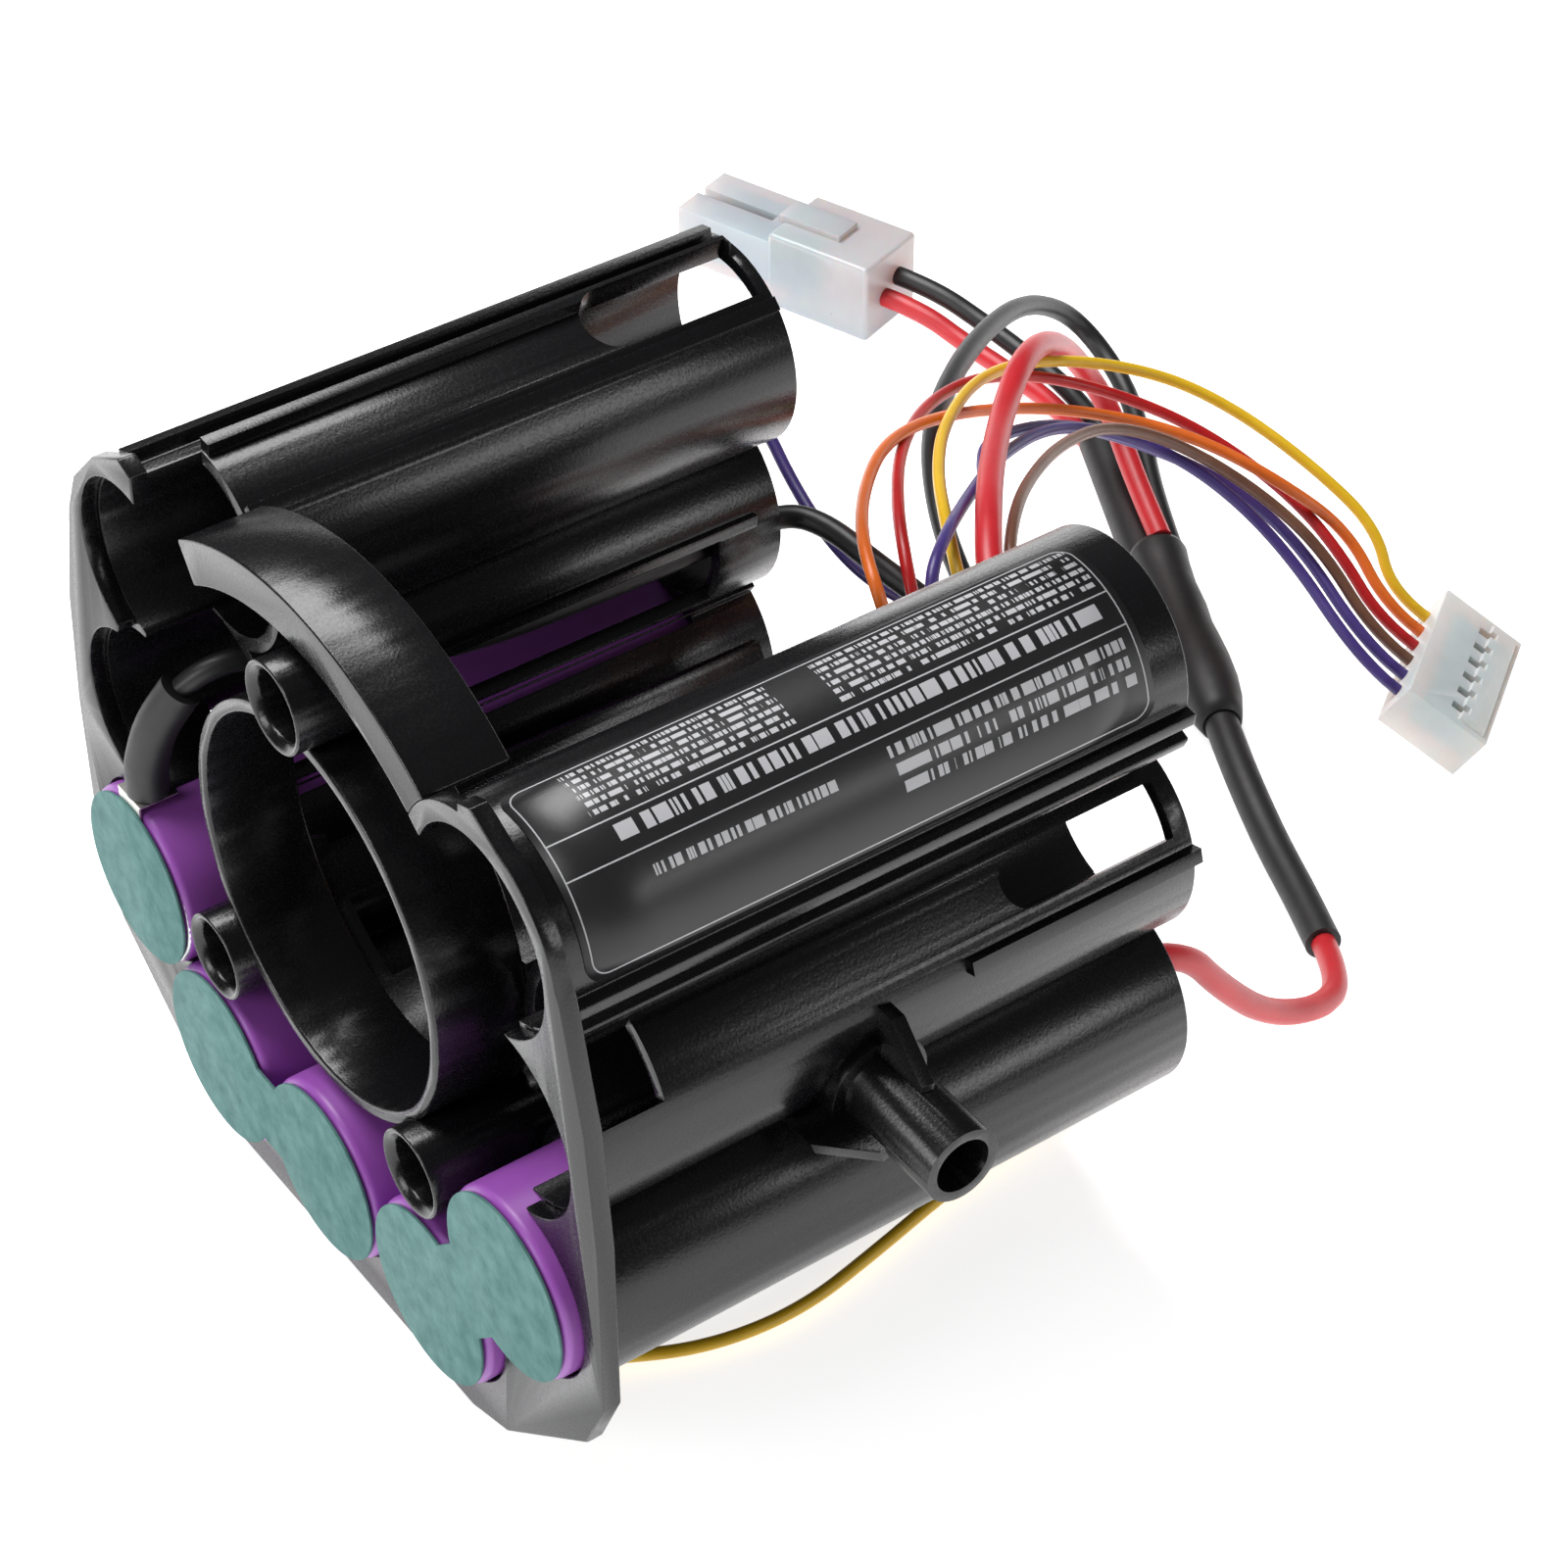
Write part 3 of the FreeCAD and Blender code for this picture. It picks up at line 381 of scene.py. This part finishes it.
def printedLabel():
    material = finish("label film", (0.012, 0.012, 0.013), (0.017, 0.017, 0.018), 70, (0.30, 0.40), 2400, 0.15)
    tree = material.node_tree
    shader = tree.nodes["Principled BSDF"]
    link = tree.links.new
    uv = tree.nodes.new("ShaderNodeUVMap")
    uv.uv_map = "labelMm"

    def step(operation, a, b=0.0):
        node = tree.nodes.new("ShaderNodeMath")
        node.operation = operation
        for socket, value in zip(node.inputs, (a, b)):
            if isinstance(value, float):
                socket.default_value = value
            else:
                link(value, socket)
        return node.outputs["Value"]

    def ruled(middle, half, cornerSize, line):
        node = tree.nodes.new("ShaderNodeGroup")
        node.node_tree = ruledBox
        link(uv.outputs["UV"], node.inputs["Place"])
        node.inputs["Middle"].default_value = (*middle, 0)
        node.inputs["Half"].default_value = (*half, 0)
        node.inputs["Corner"].default_value = cornerSize
        node.inputs["Line"].default_value = line
        return node

    parts = tree.nodes.new("ShaderNodeSeparateXYZ")
    link(uv.outputs["UV"], parts.inputs["Vector"])
    border = ruled((labelLength / 2, labelArc / 2), (labelLength / 2 - 0.7, labelArc / 2 - 0.7), 1.6, 0.07)
    ink = border.outputs["Mask"]
    for across in (7.0, 10.3):
        rule = ruled((labelLength / 2, across), (labelLength / 2 - 0.7, 0.02), 0.02, 0.05).outputs["Mask"]
        ink = step("MAXIMUM", ink, rule)
    # rows of word-like bars: box middle, box half size, row pitch, row height share, fineness
    for middle, half, pitch, share, fineness in (
            ((43.5, 3.9), (13.4, 2.7), 0.90, 0.55, 1.7), ((15.5, 3.9), (10.0, 2.7), 0.90, 0.55, 1.7),
            ((31.0, 8.65), (24.5, 1.05), 2.1, 0.70, 0.75), ((44.0, 13.6), (12.5, 2.4), 1.62, 0.62, 1.1),
            ((17.0, 12.6), (9.0, 0.8), 1.6, 0.6, 1.1)):
        rows = ruled(middle, half, 0.05, 0.01).outputs["Inside"]
        row = step("DIVIDE", step("SUBTRACT", parts.outputs["Y"], middle[1] - half[1]), pitch)
        band = step("LESS_THAN", step("FRACT", row), share)
        seat = tree.nodes.new("ShaderNodeCombineXYZ")
        link(step("MULTIPLY", parts.outputs["X"], fineness), seat.inputs["X"])
        link(step("MULTIPLY", step("FLOOR", row), 7.3), seat.inputs["Y"])
        letters = tree.nodes.new("ShaderNodeTexNoise")
        letters.inputs["Scale"].default_value = 1.6
        letters.inputs["Detail"].default_value = 1.0
        link(seat.outputs["Vector"], letters.inputs["Vector"])
        word = step("GREATER_THAN", letters.outputs["Fac"], 0.48)
        ink = step("MAXIMUM", ink, step("MULTIPLY", step("MULTIPLY", rows, band), word))
    tone = shader.inputs["Base Color"].links[0].from_socket
    mix = tree.nodes.new("ShaderNodeMix")
    mix.data_type = "RGBA"
    link(ink, mix.inputs["Factor"])
    link(tone, mix.inputs[6])
    mix.inputs[7].default_value = (0.50, 0.50, 0.52, 1)
    link(mix.outputs[2], shader.inputs["Base Color"])
    return material


labelStart, labelLength, labelFrom, labelTo = 5.4, 58.0, 76.0, 180.0
labelCentre = (-28.75, 19.3)
labelOuter = 10.73
labelArc = labelOuter * math.radians(labelTo - labelFrom)
finishes["label_film"] = printedLabel()


def labelSheet():
    bm = bmesh.new()
    layer = bm.loops.layers.uv.new("labelMm")
    columns, rows = 8, 52
    cornerSize = 2.0
    grid = []
    for j in range(rows + 1):
        share = j / rows
        turn = math.radians(labelFrom + (labelTo - labelFrom) * share)
        edge = min(share, 1 - share) * labelArc
        inset = 0.0 if edge > cornerSize else cornerSize - math.sqrt(cornerSize ** 2 - (cornerSize - edge) ** 2)
        line = []
        for i in range(columns + 1):
            x = labelStart + inset + (labelLength - 2 * inset) * i / columns
            y = labelCentre[0] + labelOuter * math.cos(turn)
            z = labelCentre[1] + labelOuter * math.sin(turn)
            line.append((bm.verts.new(place(x, y, z)), x - labelStart, share * labelArc))
        grid.append(line)
    for j in range(rows):
        for i in range(columns):
            ring = [grid[j][i], grid[j][i + 1], grid[j + 1][i + 1], grid[j + 1][i]]
            face = bm.faces.new([v for v, _, _ in ring])
            for loop, (_, across, along) in zip(face.loops, ring):
                loop[layer].uv = (across, along)
    piece = newPiece("label_sheet", bm, "label_film", ("label",))
    middle = piece.data.polygons[len(piece.data.polygons) // 2]
    if middle.normal.y * (middle.center.y - (labelCentre[0] + rowShift.y) * mm) < 0:
        piece.data.flip_normals()
    solid = piece.modifiers.new("film", "SOLIDIFY")
    solid.thickness = 0.06 * mm
    solid.offset = -1
    return piece


labelSheet()
print("label ready")

# ---------------------------------------------------- papers
def creased(material):
    tree = material.node_tree
    coords = tree.nodes.new("ShaderNodeTexCoord")
    stretch = tree.nodes.new("ShaderNodeMapping")
    stretch.inputs["Scale"].default_value = (1.0, 3.2, 1.0)
    stretch.inputs["Rotation"].default_value = (0.6, 0.0, 0.0)
    folds = tree.nodes.new("ShaderNodeTexNoise")
    folds.inputs["Scale"].default_value = 55.0
    folds.inputs["Detail"].default_value = 1.5
    bump = tree.nodes.new("ShaderNodeBump")
    bump.inputs["Strength"].default_value = 0.55
    bump.inputs["Distance"].default_value = 0.0016
    shader = tree.nodes["Principled BSDF"]
    link = tree.links.new
    link(coords.outputs["Object"], stretch.inputs["Vector"])
    link(stretch.outputs["Vector"], folds.inputs["Vector"])
    link(folds.outputs["Fac"], bump.inputs["Height"])
    link(shader.inputs["Normal"].links[0].from_socket, bump.inputs["Normal"])
    link(bump.outputs["Normal"], shader.inputs["Normal"])


creased(finishes["fish_paper"])
for name in ("paper_near_1", "paper_near_2_3", "paper_near_4_5", "paper_far_1_2", "paper_far_3_4", "paper_far_5"):
    softEdged(name, 0.05)


# ---------------------------------------------------- leads
cordFacts = {
    "black_main": ("wire_black", 2.4, 196.8, "object"), "red_main": ("wire_red", 2.7, 147.3, "object"),
    "sense_yellow": ("sense_wire_yellow", 1.3, 238.9, "connector"),
    "sense_orange": ("sense_wire_orange", 1.3, 148.9, "object"),
    "sense_red": ("sense_wire_red", 1.3, 225.3, "object"),
    "sense_brown": ("sense_wire_brown", 1.3, 125.2, "object"),
    "sense_purple_a": ("sense_wire_purple", 1.3, 140.5, "object"),
    "sense_purple_b": ("sense_wire_purple", 1.3, 135.8, "object"),
    "power_black": ("wire_black", 2.4, 39.8, "object"), "power_red": ("wire_red", 2.4, 37.7, "object"),
    "red_return": ("wire_red", 2.6, 52.2, "object"), "lead_black_inner": ("wire_black", 2.3, 64.2, "object"),
}


def lead(name, slot, diameter):
    curve = bpy.data.curves.new(name + "Lead", "CURVE")
    curve.dimensions = "3D"
    curve.resolution_u = 10
    curve.bevel_depth = diameter / 2 * mm
    curve.bevel_resolution = 5
    curve.use_fill_caps = True
    line = curve.splines.new("NURBS")
    points = routes[name]
    line.points.add(len(points) - 1)
    for point, at in zip(line.points, points):
        point.co = (at[0] * mm, at[1] * mm, at[2] * mm, 1)
    line.order_u = 3
    line.use_endpoint_u = True
    piece = bpy.data.objects.new(name + "Lead", curve)
    bpy.context.scene.collection.objects.link(piece)
    paint(piece, slot)
    return piece


# what each lead carries along
for name, (slot, diameter, length, farEnd) in cordFacts.items():
    piece = lead(name, slot, diameter)
    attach(piece, "root")
    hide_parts(name)
print("leads laid")

# ---------------------------------------------------- floor, light and camera
floorMesh = bpy.data.meshes.new("floor")
bm = bmesh.new()
bmesh.ops.create_grid(bm, x_segments=1, y_segments=1, size=3.0)
bm.to_mesh(floorMesh)
bm.free()
floor = bpy.data.objects.new("floor", floorMesh)
bpy.context.scene.collection.objects.link(floor)
floor.location.z = -0.0002
floorPaint = bpy.data.materials.new("pale floor")
floorPaint.use_nodes = True
floorShader = floorPaint.node_tree.nodes["Principled BSDF"]
floorShader.inputs["Base Color"].default_value = (0.92, 0.92, 0.92, 1)
floorShader.inputs["Roughness"].default_value = 0.9
floorShader.inputs["Emission Color"].default_value = (1, 1, 1, 1)
floorShader.inputs["Emission Strength"].default_value = 0.78
floorMesh.materials.append(floorPaint)

world = bpy.data.worlds.new("studio")
bpy.context.scene.world = world
world.use_nodes = True
world.node_tree.nodes["Background"].inputs["Color"].default_value = (1, 1, 1, 1)
world.node_tree.nodes["Background"].inputs["Strength"].default_value = 0.07

softboxes = {
    "overhead": ((-0.10, 0.45, 0.90), (0.0, 0.0, 0.03), 0.8, 0.5, 13.0),
    "left": ((-0.95, -0.05, 0.45), (0.0, 0.0, 0.03), 0.30, 0.5, 3.2),
    "front": ((0.55, -0.95, 0.42), (0.0, 0.0, 0.03), 0.9, 0.16, 2.6),
}
for name, (spot, aim, wide, tall, power) in softboxes.items():
    lamp = bpy.data.lights.new(name, "AREA")
    lamp.shape = "RECTANGLE"
    lamp.size = wide
    lamp.size_y = tall
    lamp.energy = power
    holder = bpy.data.objects.new(name, lamp)
    bpy.context.scene.collection.objects.link(holder)
    holder.location = spot
    holder.rotation_euler = (Vector(aim) - Vector(spot)).to_track_quat("-Z", "Y").to_euler()

eye = bpy.data.cameras.new("camera")
eye.lens = 92.3
eye.sensor_width = 36.0
eye.clip_start = 0.01
camera = bpy.data.objects.new("camera", eye)
bpy.context.scene.collection.objects.link(camera)
camera.location = (-0.15045, -0.23125, 0.2813)
camera.rotation_euler = (math.radians(49.63), 0.0, math.radians(-35.68))
bpy.context.scene.camera = camera
bpy.context.scene.view_settings.view_transform = "Standard"
print("stage ready")
